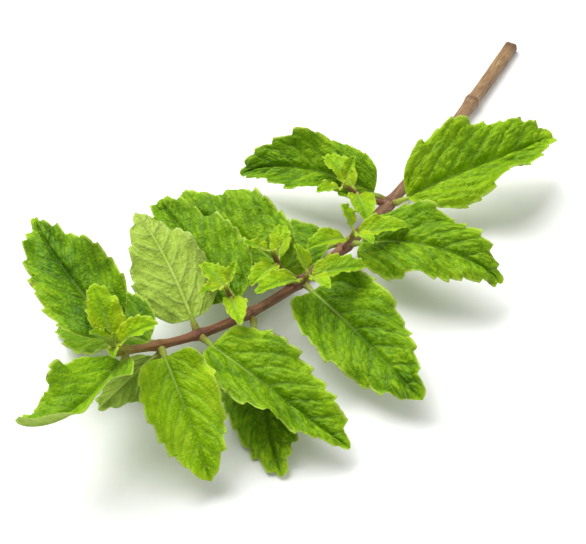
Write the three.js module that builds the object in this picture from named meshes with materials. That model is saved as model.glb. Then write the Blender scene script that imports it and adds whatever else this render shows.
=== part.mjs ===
// A cut sprig of mint lying on a table: one square stem, leaves in crossed pairs and short side shoots.
// Millimetres and degrees. +Z is up, +X runs from the cut end to the growing tip, and the origin is the
// middle of the sprig's outline on the table. A positive heading turns to the left of the growth.
import * as THREE from "three";

const DEG = Math.PI / 180;

// Main stem
const STEM_LENGTH = 210;
const STEM_BASE_RADIUS = 2.1;
const STEM_TIP_RADIUS = 0.9;
const STEM_SIDES = 12;
const STEM_STEPS = 53;
const SQUARENESS = 3.2; // exponent of the superellipse: 2 is round
const NODE_SWELL = 0.4;
const NODE_SWELL_LENGTH = 2.2;
const BARE_NODES = [36, 67]; // leafless nodes, from the cut end
const CUT_SLANT = 0.45; // rise of the cut over the stem's width
const CUT_END = new THREE.Vector3(-118.2, -9.1, 2.1);

// Side shoots
const SHOOT_BASE_RADIUS = 0.85;
const SHOOT_TIP_RADIUS = 0.55;
const SHOOT_SIDES = 8;
const SHOOT_STEPS = 6;
const SHOOT_RISE = 14; // degrees more at its tip than at its base
const SHOOT_LEAF_WIDTH = 0.56; // of its length

// Leaves
const STALK_SHARE = 0.075; // of the blade's length
const BASE_FULLNESS = 0.5;
const TOOTH_DEPTH = 0.13;
const TOOTH_LEAN = 0.7; // of a tooth's point towards the tip
const TIP_HALF_WIDTH = 0.35;
const BLADE_THICKNESS = 0.5;
const DROOP_EXPONENT = 1.2;
const HOOK_EXPONENT = 4;
const RIPPLES = 2.5; // waves of the margin along the blade
const LEFT_RIPPLE_PHASE = 0.3; // of a wave, ahead of the right margin
const FULL_LEAF = { columns: 4, stalkRows: 2, bladeRows: 18, stalkRadius: 0.75 };
const SMALL_LEAF = { columns: 2, stalkRows: 1, bladeRows: 8, stalkRadius: 0.45 };
const SMALL_LEAF_LENGTH = 20; // blades up to this length are small leaves
const YOUNG_FORM = {
  roll: 0, twist: 0, sway: 0, late: 1, fold: 18, curl: 10, ripple: 0.3, hook: 0, tip: 0.8,
};

const CLEARANCE = 0.3; // between pieces that touch
const TABLE_SOFTNESS = 1.2; // how gently a leaf lies down on the table

const STEM_COLOUR = 0x7d5240;
const LEAF_COLOUR = 0x4f8f1c;
const YOUNG_LEAF_COLOUR = 0x9cc02c;

// The stem turns right and lifts towards its tip. t runs from 0 at the cut to 1 at the tip.
const stemHeading = (t) => (9 - 5 * t - 31 * t ** 3) * DEG;
const stemPitch = (t) => (1 + 3 * t + 19 * t ** 4) * DEG;

// Leaves of the main stem. at is the distance from the cut end, heading is from the stem's own, pitch is at
// the stalk, bend is how far the leaf droops, roll lifts its left side, twist adds to the roll, sway turns
// it sideways, late delays the sway towards the tip, fold and curl raise both halves, ripple is the height of
// the margin's waves, hook bends the tip down, and a higher tip narrows the blade towards its tip.
const LEAVES = [
  {
    name: "leaf_1_left",
    at: 96, length: 50, width: 31, heading: 143, pitch: 16, bend: 22,
    roll: 18, twist: -6, sway: 6, late: 1, fold: 28, curl: 2, ripple: 1.6, hook: -10, tip: 0.85,
  },
  {
    name: "leaf_1_right",
    at: 96, length: 43, width: 23, heading: -78, pitch: 24, bend: 44,
    roll: -14, twist: -22, sway: 10, late: 1, fold: 24, curl: 4, ripple: 1.5, hook: 20, tip: 1,
  },
  {
    name: "leaf_2_upper",
    at: 120, length: 46, width: 25, heading: 94, pitch: 34, bend: 56,
    roll: 14, twist: 10, sway: 10, late: 1, fold: 20, curl: -8, ripple: 1.7, hook: 26, tip: 1.05,
  },
  {
    name: "leaf_2_lower",
    at: 120, length: 44, width: 24, heading: -54, pitch: -12, bend: -6,
    roll: 4, twist: 6, sway: -14, late: 1, fold: 6, curl: 6, ripple: 1, hook: 0, tip: 0.9,
  },
  {
    name: "leaf_3_left",
    at: 143, length: 49, width: 27, heading: 70, pitch: 12, bend: 34,
    roll: 6, twist: 22, sway: 8, late: 1, fold: 9, curl: 4, ripple: 1.7, hook: -16, tip: 0.9,
  },
  {
    name: "leaf_3_right",
    at: 143, length: 50, width: 27, heading: -92, pitch: 16, bend: 46,
    roll: -12, twist: -8, sway: -8, late: 1, fold: 28, curl: -16, ripple: 1.9, hook: 20, tip: 1,
  },
  {
    name: "leaf_4_upper",
    at: 164, length: 45, width: 25, heading: -101, pitch: 13, bend: 24,
    roll: -8, twist: -12, sway: -8, late: 2, fold: 16, curl: 4, ripple: 1.7, hook: -14, tip: 0.95,
  },
  {
    name: "leaf_4_lower",
    at: 164, length: 45, width: 24, heading: 50, pitch: -17, bend: -6,
    roll: 4, twist: 6, sway: 8, late: 1, fold: 8, curl: 4, ripple: 1.4, hook: -12, tip: 0.95,
  },
  {
    name: "leaf_5_left",
    at: 182, length: 46, width: 25, heading: 98, pitch: -3, bend: 26,
    roll: 4, twist: 2, sway: 10, late: 1, fold: 28, curl: -2, ripple: 1.4, hook: -16, tip: 1,
  },
  {
    name: "leaf_5_right",
    at: 182, length: 38, width: 23, heading: -106, pitch: 27, bend: 26,
    roll: 168, twist: 6, sway: 6, late: 1, fold: 10, curl: 8, ripple: 1.4, hook: 6, tip: 0.95,
  },
  {
    name: "leaf_6_left",
    at: 195, length: 35.5, width: 23, heading: 76, pitch: -6, bend: 38,
    roll: 8, twist: 6, sway: 4, late: 1, fold: 20, curl: 10, ripple: 1.4, hook: -6, tip: 0.8,
  },
  {
    name: "leaf_6_right",
    at: 195, length: 40, width: 22, heading: -80, pitch: -22, bend: 10,
    roll: -10, twist: -8, sway: 10, late: 1, fold: 8, curl: 8, ripple: 1.2, hook: -10, tip: 0.95,
  },
  {
    name: "leaf_6_under",
    at: 195, length: 21, width: 13, heading: 14, pitch: -4, bend: 10,
    roll: 175, twist: 0, sway: 0, late: 1, fold: 6, curl: 8, ripple: 0.4, hook: 0, tip: 0.95,
  },
  {
    name: "leaf_7_right",
    at: 206, length: 43, width: 24, heading: -79, pitch: 26, bend: 30,
    roll: -16, twist: -6, sway: -22, late: 2.5, fold: 28, curl: -4, ripple: 1.5, hook: -8, tip: 1.15,
  },
  {
    name: "leaf_7_left",
    at: 206, length: 37, width: 21, heading: 38, pitch: 14, bend: 28,
    roll: 8, twist: 10, sway: -110, late: 3, fold: 30, curl: 4, ripple: 1.2, hook: 0, tip: 0.9,
  },
  {
    name: "leaf_8_upper",
    at: 208.5, length: 15, width: 10, heading: -90, pitch: 56, bend: 30,
    roll: -8, twist: 0, sway: 0, late: 1, fold: 18, curl: 10, ripple: 0.3, hook: 0, tip: 0.8,
  },
  {
    name: "leaf_8_lower",
    at: 208.5, length: 13, width: 7.5, heading: 150, pitch: 54, bend: 34,
    roll: 10, twist: 0, sway: 0, late: 1, fold: 20, curl: 10, ripple: 0.3, hook: 0, tip: 0.8,
  },
  {
    name: "leaf_9_upper",
    at: 210, length: 8, width: 4.2, heading: 0, pitch: 64, bend: 30,
    roll: 0, twist: 0, sway: 0, late: 1, fold: 30, curl: 10, ripple: 0.1, hook: 0, tip: 0.8,
  },
  {
    name: "leaf_9_lower",
    at: 210, length: 7, width: 3.8, heading: 70, pitch: 46, bend: 30,
    roll: 0, twist: 0, sway: 0, late: 1, fold: 30, curl: 10, ripple: 0.1, hook: 0, tip: 0.8,
  },
];

// Short shoots in the angles between leaf and stem. leaf is the length of the larger of their two pairs.
const SHOOTS = [
  { name: "shoot_1", at: 99, length: 16, heading: -38, pitch: 34, leaf: 15 },
  { name: "shoot_2", at: 123, length: 15, heading: 52, pitch: 52, leaf: 14 },
  { name: "shoot_3", at: 146, length: 17, heading: 58, pitch: 46, leaf: 15 },
  { name: "shoot_4", at: 147, length: 12, heading: -70, pitch: 60, leaf: 12 },
  { name: "shoot_5", at: 167, length: 12, heading: -20, pitch: 62, leaf: 12 },
];
const SHOOT_LEAVES = [
  { name: "left", at: 0.62, scale: 1, heading: 78, pitch: 24, bend: 30 },
  { name: "right", at: 0.62, scale: 0.93, heading: -74, pitch: 28, bend: 36 },
  { name: "front", at: 0.98, scale: 0.58, heading: 14, pitch: 30, bend: 24 },
  { name: "back", at: 0.98, scale: 0.5, heading: -150, pitch: 70, bend: 30 },
];

/** Unit vector of a heading and a pitch. */
function direction(heading, pitch) {
  return new THREE.Vector3(
    Math.cos(pitch) * Math.cos(heading),
    Math.cos(pitch) * Math.sin(heading),
    Math.sin(pitch),
  );
}

/** The side and up vectors of a stalk or blade that points along heading and pitch and is rolled. */
function crossAxes(heading, pitch, roll) {
  const up = new THREE.Vector3(
    -Math.sin(pitch) * Math.cos(heading),
    -Math.sin(pitch) * Math.sin(heading),
    Math.cos(pitch),
  );
  const side = up.clone().cross(direction(heading, pitch));
  return {
    side: side.clone().multiplyScalar(Math.cos(roll)).addScaledVector(up, Math.sin(roll)),
    up: up.multiplyScalar(Math.cos(roll)).addScaledVector(side, -Math.sin(roll)),
  };
}

/** Positions along a stalk that starts at the origin and follows heading(t) and pitch(t), at distances. */
function grow(distances, heading, pitch) {
  const total = distances.at(-1);
  const points = [new THREE.Vector3()];
  for (let i = 1; i < distances.length; i++) {
    const middle = (distances[i - 1] + distances[i]) / 2 / total;
    const step = distances[i] - distances[i - 1];
    points.push(points[i - 1].clone().addScaledVector(direction(heading(middle), pitch(middle)), step));
  }
  return points;
}

/** Replaces every vertex of a geometry by what place(vertex) returns. */
function reshape(geometry, place) {
  const position = geometry.getAttribute("position");
  for (let i = 0; i < position.count; i++) {
    const p = place(new THREE.Vector3().fromBufferAttribute(position, i));
    position.setXYZ(i, p.x, p.y, p.z);
  }
  geometry.computeVertexNormals();
  return geometry;
}

/** A stem as a course of stations with a radius, which swells at its leaf nodes. */
function stemCourse({ length, steps, heading, pitch, baseRadius, tipRadius, nodes = [] }) {
  const distances = Array.from({ length: steps + 1 }, (_, i) => (length * i) / steps);
  const points = grow(distances, heading, pitch);
  return {
    length,
    steps,
    heading,
    pitch,
    points,
    radius(distance) {
      const swell = nodes.reduce(
        (sum, node) => sum + Math.exp(-(((distance - node) / NODE_SWELL_LENGTH) ** 2)),
        0,
      );
      return baseRadius + ((tipRadius - baseRadius) * distance) / length + NODE_SWELL * swell;
    },
    pointAt(distance) {
      const place = (Math.min(distance, length) / length) * steps;
      const i = Math.min(Math.floor(place), steps - 1);
      return points[i].clone().lerp(points[i + 1], place - i);
    },
  };
}

/** Scale that turns a point of the unit circle into one of the stem's squared section. */
function squaring(x, z) {
  return (Math.abs(x) ** SQUARENESS + Math.abs(z) ** SQUARENESS) ** (-1 / SQUARENESS);
}

/** A closed stem with a squared section along its course, cut on a slant at its base. */
function stemGeometry(course, sides, slant) {
  const cylinder = new THREE.CylinderGeometry(1, 1, 1, sides, course.steps);
  cylinder.rotateY(Math.PI / sides);
  return reshape(cylinder, (v) => {
    const step = Math.round((v.y + 0.5) * course.steps);
    const t = step / course.steps;
    const isCentre = Math.hypot(v.x, v.z) < 0.5;
    const radius = isCentre ? 0 : course.radius(t * course.length) * squaring(v.x, v.z);
    const { side, up } = crossAxes(course.heading(t), course.pitch(t), 0);
    return course.points[step]
      .clone()
      .addScaledVector(side, -v.x * radius)
      .addScaledVector(up, v.z * radius)
      .addScaledVector(direction(course.heading(t), course.pitch(t)), step === 0 ? slant * v.z * radius : 0);
  });
}

const isSmall = (leaf) => leaf.length <= SMALL_LEAF_LENGTH;
const gridOf = (leaf) => (isSmall(leaf) ? SMALL_LEAF : FULL_LEAF);

/** Share of the full half width at v, from 0 at the blade's base to 1 at its tip. */
function outline(v, tip) {
  const widest = BASE_FULLNESS / (BASE_FULLNESS + tip);
  const shape = (x) => x ** BASE_FULLNESS * (1 - x) ** tip;
  return shape(v) / shape(widest);
}

/** The course of a leaf's midrib from the foot of its stalk, which is at the origin, to its tip. */
function midrib(leaf, { stalkRows, bladeRows }) {
  const stalk = leaf.length * STALK_SHARE;
  const distances = [0];
  for (let i = 1; i <= stalkRows; i++) distances.push((stalk * i) / stalkRows);
  for (let i = 1; i <= bladeRows; i++) distances.push(stalk + (leaf.length * i) / bladeRows);
  const heading = (t) => leaf.sway * t ** leaf.late * DEG;
  const droop = (t) => leaf.bend * t ** DROOP_EXPONENT + leaf.hook * t ** HOOK_EXPONENT;
  const pitch = (t) => (leaf.pitch - droop(t)) * DEG;
  return { distances, heading, pitch, points: grow(distances, heading, pitch) };
}

/** The blade's section at v, for u from -1 at its right edge to 1 at its left: offsets and thickness. */
function bladeSection(leaf, v, u, isTooth) {
  const full = (leaf.width * outline(v, leaf.tip) * (isTooth ? 1 : 1 - TOOTH_DEPTH)) / 2;
  const half = Math.max(full, TIP_HALF_WIDTH);
  const rise = (leaf.fold + leaf.curl * Math.abs(u)) * DEG;
  const phase = u > 0 ? LEFT_RIPPLE_PHASE : 0;
  const wave = leaf.ripple * u * u * Math.sin(2 * Math.PI * (RIPPLES * v + phase)) * 4 * v * (1 - v);
  return {
    across: u * half * Math.cos(rise),
    up: Math.abs(u) * half * Math.sin(rise) + wave,
    along: isTooth && Math.abs(u) === 1 ? TOOTH_LEAN : 0,
    thickness: BLADE_THICKNESS,
  };
}

/** A leaf with its stalk as one thin closed solid along +X, lying no lower than floor. */
function leafGeometry(leaf, floor) {
  const grid = gridOf(leaf);
  const rows = grid.stalkRows + grid.bladeRows;
  const { distances, heading, pitch, points } = midrib(leaf, grid);
  const box = new THREE.BoxGeometry(1, 1, 1, rows, grid.columns, 1);
  return reshape(box, (corner) => {
    const row = Math.round((corner.x + 0.5) * rows);
    const t = distances[row] / distances[rows];
    const u = 2 * corner.y;
    const bladeRow = row - grid.stalkRows;
    const section =
      bladeRow <= 0
        ? { across: u * grid.stalkRadius, up: 0, along: 0, thickness: 2 * grid.stalkRadius }
        : bladeSection(leaf, bladeRow / grid.bladeRows, u, bladeRow % 2 === 1);
    const { side, up } = crossAxes(heading(t), pitch(t), (leaf.roll + leaf.twist * t) * DEG);
    const middle = points[row]
      .clone()
      .addScaledVector(side, section.across)
      .addScaledVector(up, section.up)
      .addScaledVector(direction(heading(t), pitch(t)), section.along);
    middle.z = layDown(middle.z, floor + section.thickness / 2);
    return middle.addScaledVector(up, corner.z * section.thickness);
  });
}

/** A height that eases to the floor and never goes below it. */
function layDown(z, floor) {
  const over = z - floor;
  return floor + (over + Math.sqrt(over * over + TABLE_SOFTNESS * TABLE_SOFTNESS)) / 2;
}

const stemMaterial = new THREE.MeshStandardMaterial({ color: STEM_COLOUR, roughness: 0.6, metalness: 0 });
const leafMaterial = new THREE.MeshStandardMaterial({ color: LEAF_COLOUR, roughness: 0.45, metalness: 0 });
const youngLeafMaterial = leafMaterial.clone();
youngLeafMaterial.color.setHex(YOUNG_LEAF_COLOUR);

function namedMesh(name, geometry, material) {
  const mesh = new THREE.Mesh(geometry, material);
  mesh.name = name;
  return mesh;
}

/** Where something of a given radius that points along heading and pitch leaves a course's skin. */
function sproutPoint(course, at, heading, pitch, radius) {
  const t = at / course.length;
  const along = direction(course.heading(t), course.pitch(t));
  const pointing = direction(heading, pitch);
  const slope = pointing.dot(along);
  const outward = pointing.addScaledVector(along, -slope).normalize();
  const gap = CLEARANCE + radius * Math.abs(slope);
  return course.pointAt(at).addScaledVector(outward, course.radius(at) + gap);
}

/** A leaf mesh on a course whose start is at a given height above the table. */
function leafOn(course, leaf, height) {
  const heading = course.heading(leaf.at / course.length) + leaf.heading * DEG;
  const base = sproutPoint(course, leaf.at, heading, leaf.pitch * DEG, gridOf(leaf).stalkRadius);
  const geometry = leafGeometry(leaf, -(height + base.z));
  const mesh = namedMesh(leaf.name, geometry, isSmall(leaf) ? youngLeafMaterial : leafMaterial);
  mesh.position.copy(base);
  mesh.rotation.z = heading;
  return mesh;
}

/** A side shoot with two crossed pairs of young leaves. */
function shootOn(course, shoot, height) {
  const heading = course.heading(shoot.at / course.length) + shoot.heading * DEG;
  const group = new THREE.Group();
  group.position.copy(sproutPoint(course, shoot.at, heading, shoot.pitch * DEG, SHOOT_BASE_RADIUS));
  const twig = stemCourse({
    length: shoot.length,
    steps: SHOOT_STEPS,
    heading: () => heading,
    pitch: (t) => (shoot.pitch + SHOOT_RISE * t) * DEG,
    baseRadius: SHOOT_BASE_RADIUS,
    tipRadius: SHOOT_TIP_RADIUS,
  });
  group.add(namedMesh(`${shoot.name}_stem`, stemGeometry(twig, SHOOT_SIDES, 0), stemMaterial));
  for (const { name, at, scale, ...way } of SHOOT_LEAVES) {
    const length = shoot.leaf * scale;
    const size = { length, width: length * SHOOT_LEAF_WIDTH, at: at * shoot.length };
    const leaf = { name: `${shoot.name}_leaf_${name}`, ...size, ...way, ...YOUNG_FORM };
    group.add(leafOn(twig, leaf, height + group.position.z));
  }
  return group;
}

const sprig = new THREE.Group();
sprig.position.copy(CUT_END);

const stem = stemCourse({
  length: STEM_LENGTH,
  steps: STEM_STEPS,
  heading: stemHeading,
  pitch: stemPitch,
  baseRadius: STEM_BASE_RADIUS,
  tipRadius: STEM_TIP_RADIUS,
  nodes: [...BARE_NODES, ...new Set(LEAVES.map((leaf) => leaf.at))],
});
sprig.add(namedMesh("main_stem", stemGeometry(stem, STEM_SIDES, CUT_SLANT), stemMaterial));
for (const leaf of LEAVES) sprig.add(leafOn(stem, leaf, CUT_END.z));
for (const shoot of SHOOTS) sprig.add(shootOn(stem, shoot, CUT_END.z));

export default sprig;
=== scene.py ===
"""A cut sprig of fresh mint on a pale table.

Lengths are in millimetres until a mesh is finished, and in metres from then on. The sprig grows along +X
from its cut end, and a positive heading turns to the left of the growth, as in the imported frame.
"""
import math
import random
from dataclasses import dataclass, field

import bmesh
import bpy
from mathutils import Matrix, Vector, noise


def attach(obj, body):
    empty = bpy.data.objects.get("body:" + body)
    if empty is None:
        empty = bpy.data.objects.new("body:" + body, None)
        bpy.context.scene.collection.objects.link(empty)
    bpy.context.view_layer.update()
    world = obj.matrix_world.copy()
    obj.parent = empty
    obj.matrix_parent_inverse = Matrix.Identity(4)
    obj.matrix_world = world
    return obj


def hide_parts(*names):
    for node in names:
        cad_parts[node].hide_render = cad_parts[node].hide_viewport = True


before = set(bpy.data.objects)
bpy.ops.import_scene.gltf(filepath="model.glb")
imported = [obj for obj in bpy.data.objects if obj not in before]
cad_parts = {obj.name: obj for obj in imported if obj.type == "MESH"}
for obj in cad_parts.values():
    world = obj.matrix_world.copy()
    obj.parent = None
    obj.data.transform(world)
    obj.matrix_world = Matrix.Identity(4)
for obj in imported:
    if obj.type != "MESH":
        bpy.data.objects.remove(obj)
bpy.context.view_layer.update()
noise.seed_set(1)  # noise_vector takes its seed from the clock without this

MM = 0.001
LEAF_MARKS = ("age", "groove", "margin", "joint")  # what a leaf's mesh tells its material

# ---------------------------------------------------------------- how the sprig grows

STEM_LENGTH = 210
STEM_BASE_RADIUS = 2.1
STEM_TIP_RADIUS = 0.9
STEM_STEPS = 318
STEM_SIDES = 32
CUT_SLANT = 0.45  # rise of the cut over the stem's width
CUT_END = Vector((-118.2, -9.1, 2.1))
BARE_NODES = (36, 67)  # leafless nodes, from the cut end
NODE_SWELL = 0.4
NODE_SWELL_LENGTH = 2.2
SQUARENESS = 3.2  # exponent of the superellipse: 2 is round

SHOOT_BASE_RADIUS = 0.85
SHOOT_TIP_RADIUS = 0.55
SHOOT_STEPS = 24
SHOOT_SIDES = 16
SHOOT_FOOT = -1.2  # where a shoot starts, inside the main stem
SHOOT_RISE = 14  # degrees more at its tip than at its base
SHOOT_LEAF_WIDTH = 0.56  # of its length
SHOOT_AGES = (0.8, 1)  # how far up the stem's colours its foot and its tip are

STALK_SHARE = 0.075  # of the blade's length
STALK_RADIUS = 0.75
SMALL_STALK_RADIUS = 0.45
BASE_FULLNESS = 0.5
DROOP_EXPONENT = 1.2
HOOK_EXPONENT = 4
RIPPLES = 2.5  # waves of the margin along the blade
LEFT_RIPPLE_PHASE = 0.3  # of a wave, ahead of the right margin
SMALL_LEAF_LENGTH = 20  # blades up to this length are small leaves
CLEARANCE = 0.3  # between a stem's skin and the foot of what grows from it
TABLE_SOFTNESS = 1.2  # how gently a leaf lies down on the table


@dataclass
class Leaf:
    """One leaf: where it leaves its stem, how it hangs, and how old it is."""

    name: str
    at: float  # distance from its stem's base
    length: float
    width: float
    heading: float  # from its stem's own
    pitch: float  # at the stalk
    bend: float  # how far it droops
    roll: float = 0  # how far its left side is lifted
    twist: float = 0  # how much more its tip is rolled
    sway: float = 0  # how far it turns sideways
    late: float = 1  # delays the sway towards the tip
    fold: float = 18  # how far both halves are raised
    curl: float = 10  # how much more their margins are
    ripple: float = 0.3  # height of the margin's waves
    hook: float = 0  # how far the tip bends down
    age: float = 0.6  # 0 is a bud leaf, 1 is an old, dark one
    crinkle: float = 0.9  # how deep the furrows between its cushions are
    tip: float = 0.8  # a higher one narrows the leaf towards its tip

    @property
    def small(self):
        """Whether it is a young leaf of a shoot or of the tip."""
        return self.length <= SMALL_LEAF_LENGTH

    @property
    def stalk_radius(self):
        """Its stalk's radius at the stem."""
        return SMALL_STALK_RADIUS if self.small else STALK_RADIUS


# name, at, length, width, heading, pitch, bend, roll, twist, sway, late, fold, curl, ripple, hook, age,
# crinkle, tip
LEAVES = [
    Leaf("leaf_1_left", 96, 50, 31, 143, 16, 22, 18, -6, 6, 1, 28, 2, 1.6, -10, 0.42, 1.5, 0.85),
    Leaf("leaf_1_right", 96, 43, 23, -78, 24, 44, -14, -22, 10, 1, 24, 4, 1.5, 20, 0.9, 1.25, 1),
    Leaf("leaf_2_upper", 120, 46, 25, 94, 34, 56, 14, 10, 10, 1, 20, -8, 1.7, 26, 0.8, 1.3, 1.05),
    Leaf("leaf_2_lower", 120, 44, 24, -54, -12, -6, 4, 6, -14, 1, 6, 6, 1, 0, 1, 1.1, 0.9),
    Leaf("leaf_3_left", 143, 49, 27, 70, 12, 34, 6, 22, 8, 1, 9, 4, 1.7, -16, 0.85, 1.2, 0.9),
    Leaf("leaf_3_right", 143, 50, 27, -92, 16, 46, -12, -8, -8, 1, 28, -16, 1.9, 20, 0.7, 1.3, 1),
    Leaf("leaf_4_upper", 164, 45, 25, -101, 13, 24, -8, -12, -8, 2, 16, 4, 1.7, -14, 0.75, 1.1, 0.95),
    Leaf("leaf_4_lower", 164, 45, 24, 50, -17, -6, 4, 6, 8, 1, 8, 4, 1.4, -12, 0.85, 1, 0.95),
    Leaf("leaf_5_left", 182, 46, 25, 98, -3, 26, 4, 2, 10, 1, 28, -2, 1.4, -16, 0.7, 1.1, 1),
    Leaf("leaf_5_right", 182, 38, 23, -106, 27, 26, 168, 6, 6, 1, 10, 8, 1.4, 6, 0.7, 0.9, 0.95),
    Leaf("leaf_6_left", 195, 35.5, 23, 76, -6, 38, 8, 6, 4, 1, 20, 10, 1.4, -6, 0.45, 0.8, 0.8),
    Leaf("leaf_6_right", 195, 40, 22, -80, -22, 10, -10, -8, 10, 1, 8, 8, 1.2, -10, 0.85, 1, 0.95),
    Leaf("leaf_6_under", 195, 21, 13, 14, -4, 10, 175, 0, 0, 1, 6, 8, 0.4, 0, 0.8, 0.8, 0.95),
    Leaf("leaf_7_right", 206, 43, 24, -79, 26, 30, -16, -6, -22, 2.5, 28, -4, 1.5, -8, 0.95, 0.95, 1.15),
    Leaf("leaf_7_left", 206, 37, 21, 38, 14, 28, 8, 10, -110, 3, 30, 4, 1.2, 0, 0.75, 0.8, 0.9),
    Leaf("leaf_8_upper", 208.5, 15, 10, -90, 56, 30, -8, 0, 0, 1, 18, 10, 0.3, 0, 0.1, 0.8, 0.8),
    Leaf("leaf_8_lower", 208.5, 13, 7.5, 150, 54, 34, 10, 0, 0, 1, 20, 10, 0.3, 0, 0.1, 0.8, 0.8),
    Leaf("leaf_9_upper", 210, 8, 4.2, 0, 64, 30, 0, 0, 0, 1, 30, 10, 0.1, 0, 0.05, 0.6, 0.8),
    Leaf("leaf_9_lower", 210, 7, 3.8, 70, 46, 30, 0, 0, 0, 1, 30, 10, 0.1, 0, 0.05, 0.6, 0.8),
]

# The smallest leaves of the bud, which ride with the pair outside them.
BUD_LEAVES = {
    "leaf_9_upper": [
        Leaf("bud_leaf_1", 210, 4.6, 2.6, -60, 62, -30, fold=40, ripple=0.1, age=0, crinkle=0.5),
        Leaf("bud_leaf_2", 210, 3.2, 1.9, 30, 80, -20, fold=46, ripple=0.1, age=0, crinkle=0.5),
    ],
    "leaf_9_lower": [
        Leaf("bud_leaf_3", 210, 4.8, 2.6, 150, 66, -36, fold=40, ripple=0.1, age=0, crinkle=0.5),
    ],
}


@dataclass
class Shoot:
    """A short shoot in the angle between a leaf and the main stem."""

    name: str
    at: float
    length: float
    heading: float
    pitch: float
    leaf: float  # length of its largest leaf


SHOOTS = [
    Shoot("shoot_1", 99, 16, -38, 34, 15),
    Shoot("shoot_2", 123, 15, 52, 52, 14),
    Shoot("shoot_3", 146, 17, 58, 46, 15),
    Shoot("shoot_4", 147, 12, -70, 60, 12),
    Shoot("shoot_5", 167, 12, -20, 62, 12),
]
# Leaves of a shoot: name, share of the shoot's length, share of its largest leaf, heading, pitch, bend, age
SHOOT_LEAVES = [
    ("left", 0.62, 1, 78, 24, 30, 0.28),
    ("right", 0.62, 0.93, -74, 28, 36, 0.22),
    ("front", 0.98, 0.58, 14, 30, 24, 0.05),
    ("back", 0.98, 0.5, -150, 70, 30, 0.05),
]


def direction(heading, pitch):
    """Unit vector of a heading and a pitch."""
    flat = math.cos(pitch)
    return Vector((flat * math.cos(heading), flat * math.sin(heading), math.sin(pitch)))


def cross_axes(heading, pitch, roll=0):
    """The side and up vectors of something that points along heading and pitch and is rolled."""
    up = direction(heading, pitch + math.pi / 2)
    side = up.cross(direction(heading, pitch))
    turned_side = side * math.cos(roll) + up * math.sin(roll)
    return turned_side, up * math.cos(roll) - side * math.sin(roll)


def grow(distances, heading, pitch):
    """Points along a stalk from the origin, at the given distances."""
    points = [Vector()]
    for near, far in zip(distances, distances[1:]):
        t = (near + far) / 2 / distances[-1]
        points.append(points[-1] + direction(heading(t), pitch(t)) * (far - near))
    return points


@dataclass
class Course:
    """The path of a stem, with its radius."""

    start: Vector
    length: float
    steps: int
    heading: object  # function of t, from 0 at its start to 1 at its tip
    pitch: object  # function of t
    base_radius: float
    tip_radius: float
    nodes: list = field(default_factory=list)

    def __post_init__(self):
        distances = [self.length * i / self.steps for i in range(self.steps + 1)]
        self.points = [self.start + p for p in grow(distances, self.heading, self.pitch)]

    def point(self, distance):
        """The point of the path at a distance from its start."""
        place = min(distance, self.length) / self.length * self.steps
        i = min(int(place), self.steps - 1)
        return self.points[i].lerp(self.points[i + 1], place - i)

    def radius(self, distance):
        """The radius at a distance, which swells at the leaf nodes."""
        swell = sum(math.exp(-(((distance - node) / NODE_SWELL_LENGTH) ** 2)) for node in self.nodes)
        share = distance / self.length
        return self.base_radius + (self.tip_radius - self.base_radius) * share + NODE_SWELL * swell

    def frame(self, t):
        """Along, side and up vectors at t from 0 to 1."""
        side, up = cross_axes(self.heading(t), self.pitch(t))
        return direction(self.heading(t), self.pitch(t)), side, up

    def sprout(self, at, heading, pitch, radius):
        """Where something of a given radius that points along heading and pitch leaves the skin."""
        along = self.frame(at / self.length)[0]
        pointing = direction(heading, pitch)
        slope = pointing.dot(along)
        outward = (pointing - along * slope).normalized()
        return self.point(at) + outward * (self.radius(at) + CLEARANCE + radius * abs(slope))


main_course = Course(
    start=CUT_END,
    length=STEM_LENGTH,
    steps=STEM_STEPS,
    heading=lambda t: math.radians(9 - 5 * t - 31 * t**3),
    pitch=lambda t: math.radians(1 + 3 * t + 19 * t**4),
    base_radius=STEM_BASE_RADIUS,
    tip_radius=STEM_TIP_RADIUS,
    nodes=list(BARE_NODES) + sorted({leaf.at for leaf in LEAVES}),
)


def shoot_course(shoot):
    """The path of a side shoot."""
    way = main_course.heading(shoot.at / STEM_LENGTH) + math.radians(shoot.heading)
    return Course(
        start=main_course.sprout(shoot.at, way, math.radians(shoot.pitch), SHOOT_BASE_RADIUS),
        length=shoot.length,
        steps=SHOOT_STEPS,
        heading=lambda t: way,
        pitch=lambda t: math.radians(shoot.pitch + SHOOT_RISE * t),
        base_radius=SHOOT_BASE_RADIUS,
        tip_radius=SHOOT_TIP_RADIUS,
    )


# ---------------------------------------------------------------- skins


def linear(hex_colour):
    """An sRGB hex colour as linear red, green, blue and alpha."""
    channels = [int(hex_colour[i : i + 2], 16) / 255 for i in (1, 3, 5)]
    return tuple(c / 12.92 if c <= 0.04045 else ((c + 0.055) / 1.055) ** 2.4 for c in channels) + (1,)


def add(tree, kind, settings=None, links=None):
    """Adds a node. settings are its properties and socket values, links its inputs' sources.

    A MapRange has what comes in at socket 0, from a range at 1 and 2 to a range at 3 and 4.
    """
    node = tree.nodes.new("ShaderNode" + kind)
    for key, value in (settings or {}).items():
        if isinstance(key, str) and hasattr(node, key) and key not in node.inputs:
            setattr(node, key, value)
        else:
            node.inputs[key].default_value = value
    for key, source in (links or {}).items():
        tree.links.new(source, node.inputs[key])
    return node


def new_material(name):
    """An empty material and its node tree."""
    material = bpy.data.materials.new(name)
    material.use_nodes = True
    material.node_tree.nodes.clear()
    return material, material.node_tree


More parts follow.
